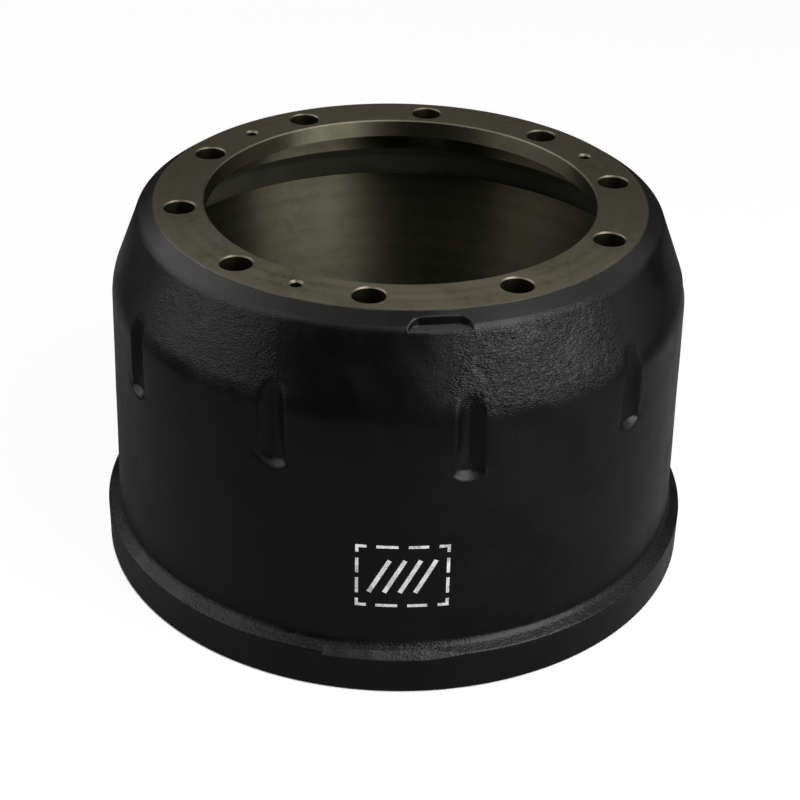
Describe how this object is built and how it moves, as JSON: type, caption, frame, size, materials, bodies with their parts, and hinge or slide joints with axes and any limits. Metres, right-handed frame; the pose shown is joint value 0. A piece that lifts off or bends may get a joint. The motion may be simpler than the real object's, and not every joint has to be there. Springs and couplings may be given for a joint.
{
  "type": "brake drum",
  "caption": "Cast-iron brake drum: a turned mounting flange with stud holes round a hub bore, a fluted shoulder, a drafted wall and a thick rim at the open end.",
  "frame": {"origin": "centre of the open rim's lower edge, on the surface the drum stands on", "axes": "+Z along the drum's axis, from the open rim to the wheel mounting face; +X to the right and +Y to the back when the pocket in the shoulder faces the viewer"},
  "size_m": [0.4715, 0.4716, 0.289],
  "materials": {
    "painted_casting": "satin black paint on the cast skin, bare turned metal on the flange, in the hub bore and inside"
  },
  "bodies": {
    "root": {"brake_drum": "painted_casting"}
  },
  "joints": []
}
